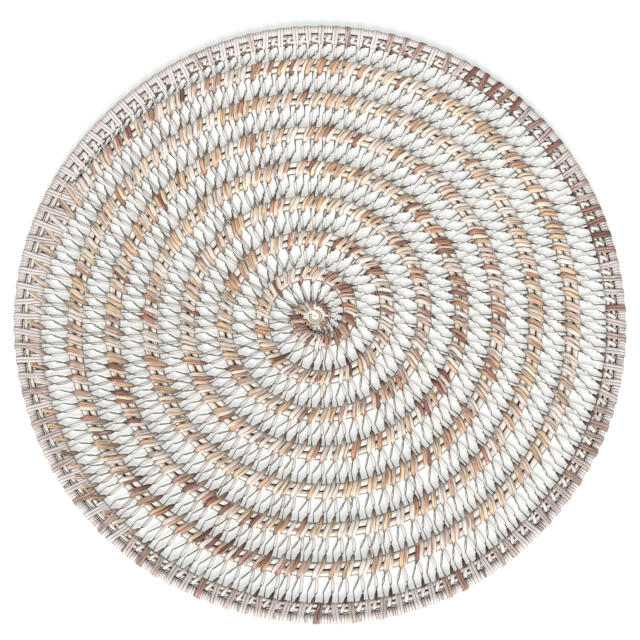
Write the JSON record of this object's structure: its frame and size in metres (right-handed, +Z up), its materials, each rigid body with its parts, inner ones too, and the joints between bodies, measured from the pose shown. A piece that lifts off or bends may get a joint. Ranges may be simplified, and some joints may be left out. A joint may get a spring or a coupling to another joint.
{
  "type": "round openwork cane placemat",
  "caption": "Round table mat of whitewashed cane: a flat laced spiral with pointed gaps between its turns, inside a bound border, to set a plate on.",
  "frame": {"origin": "on the surface the mat lies on, under the middle of its outline", "axes": "+Z up out of the mat's face, +Y to the top of the picture, +X to its right"},
  "size_m": [0.3801, 0.38, 0.0059],
  "materials": {
    "laced_cane": "cream cores laced with flat strands in tan, orange-brown and reddish brown under a thin whitewash, matte",
    "bound_cane": "pinkish grey whitewashed strands bound over pale cores, matte"
  },
  "bodies": {
    "root": {"woven_field": "laced_cane", "border_band": "bound_cane"}
  },
  "joints": []
}
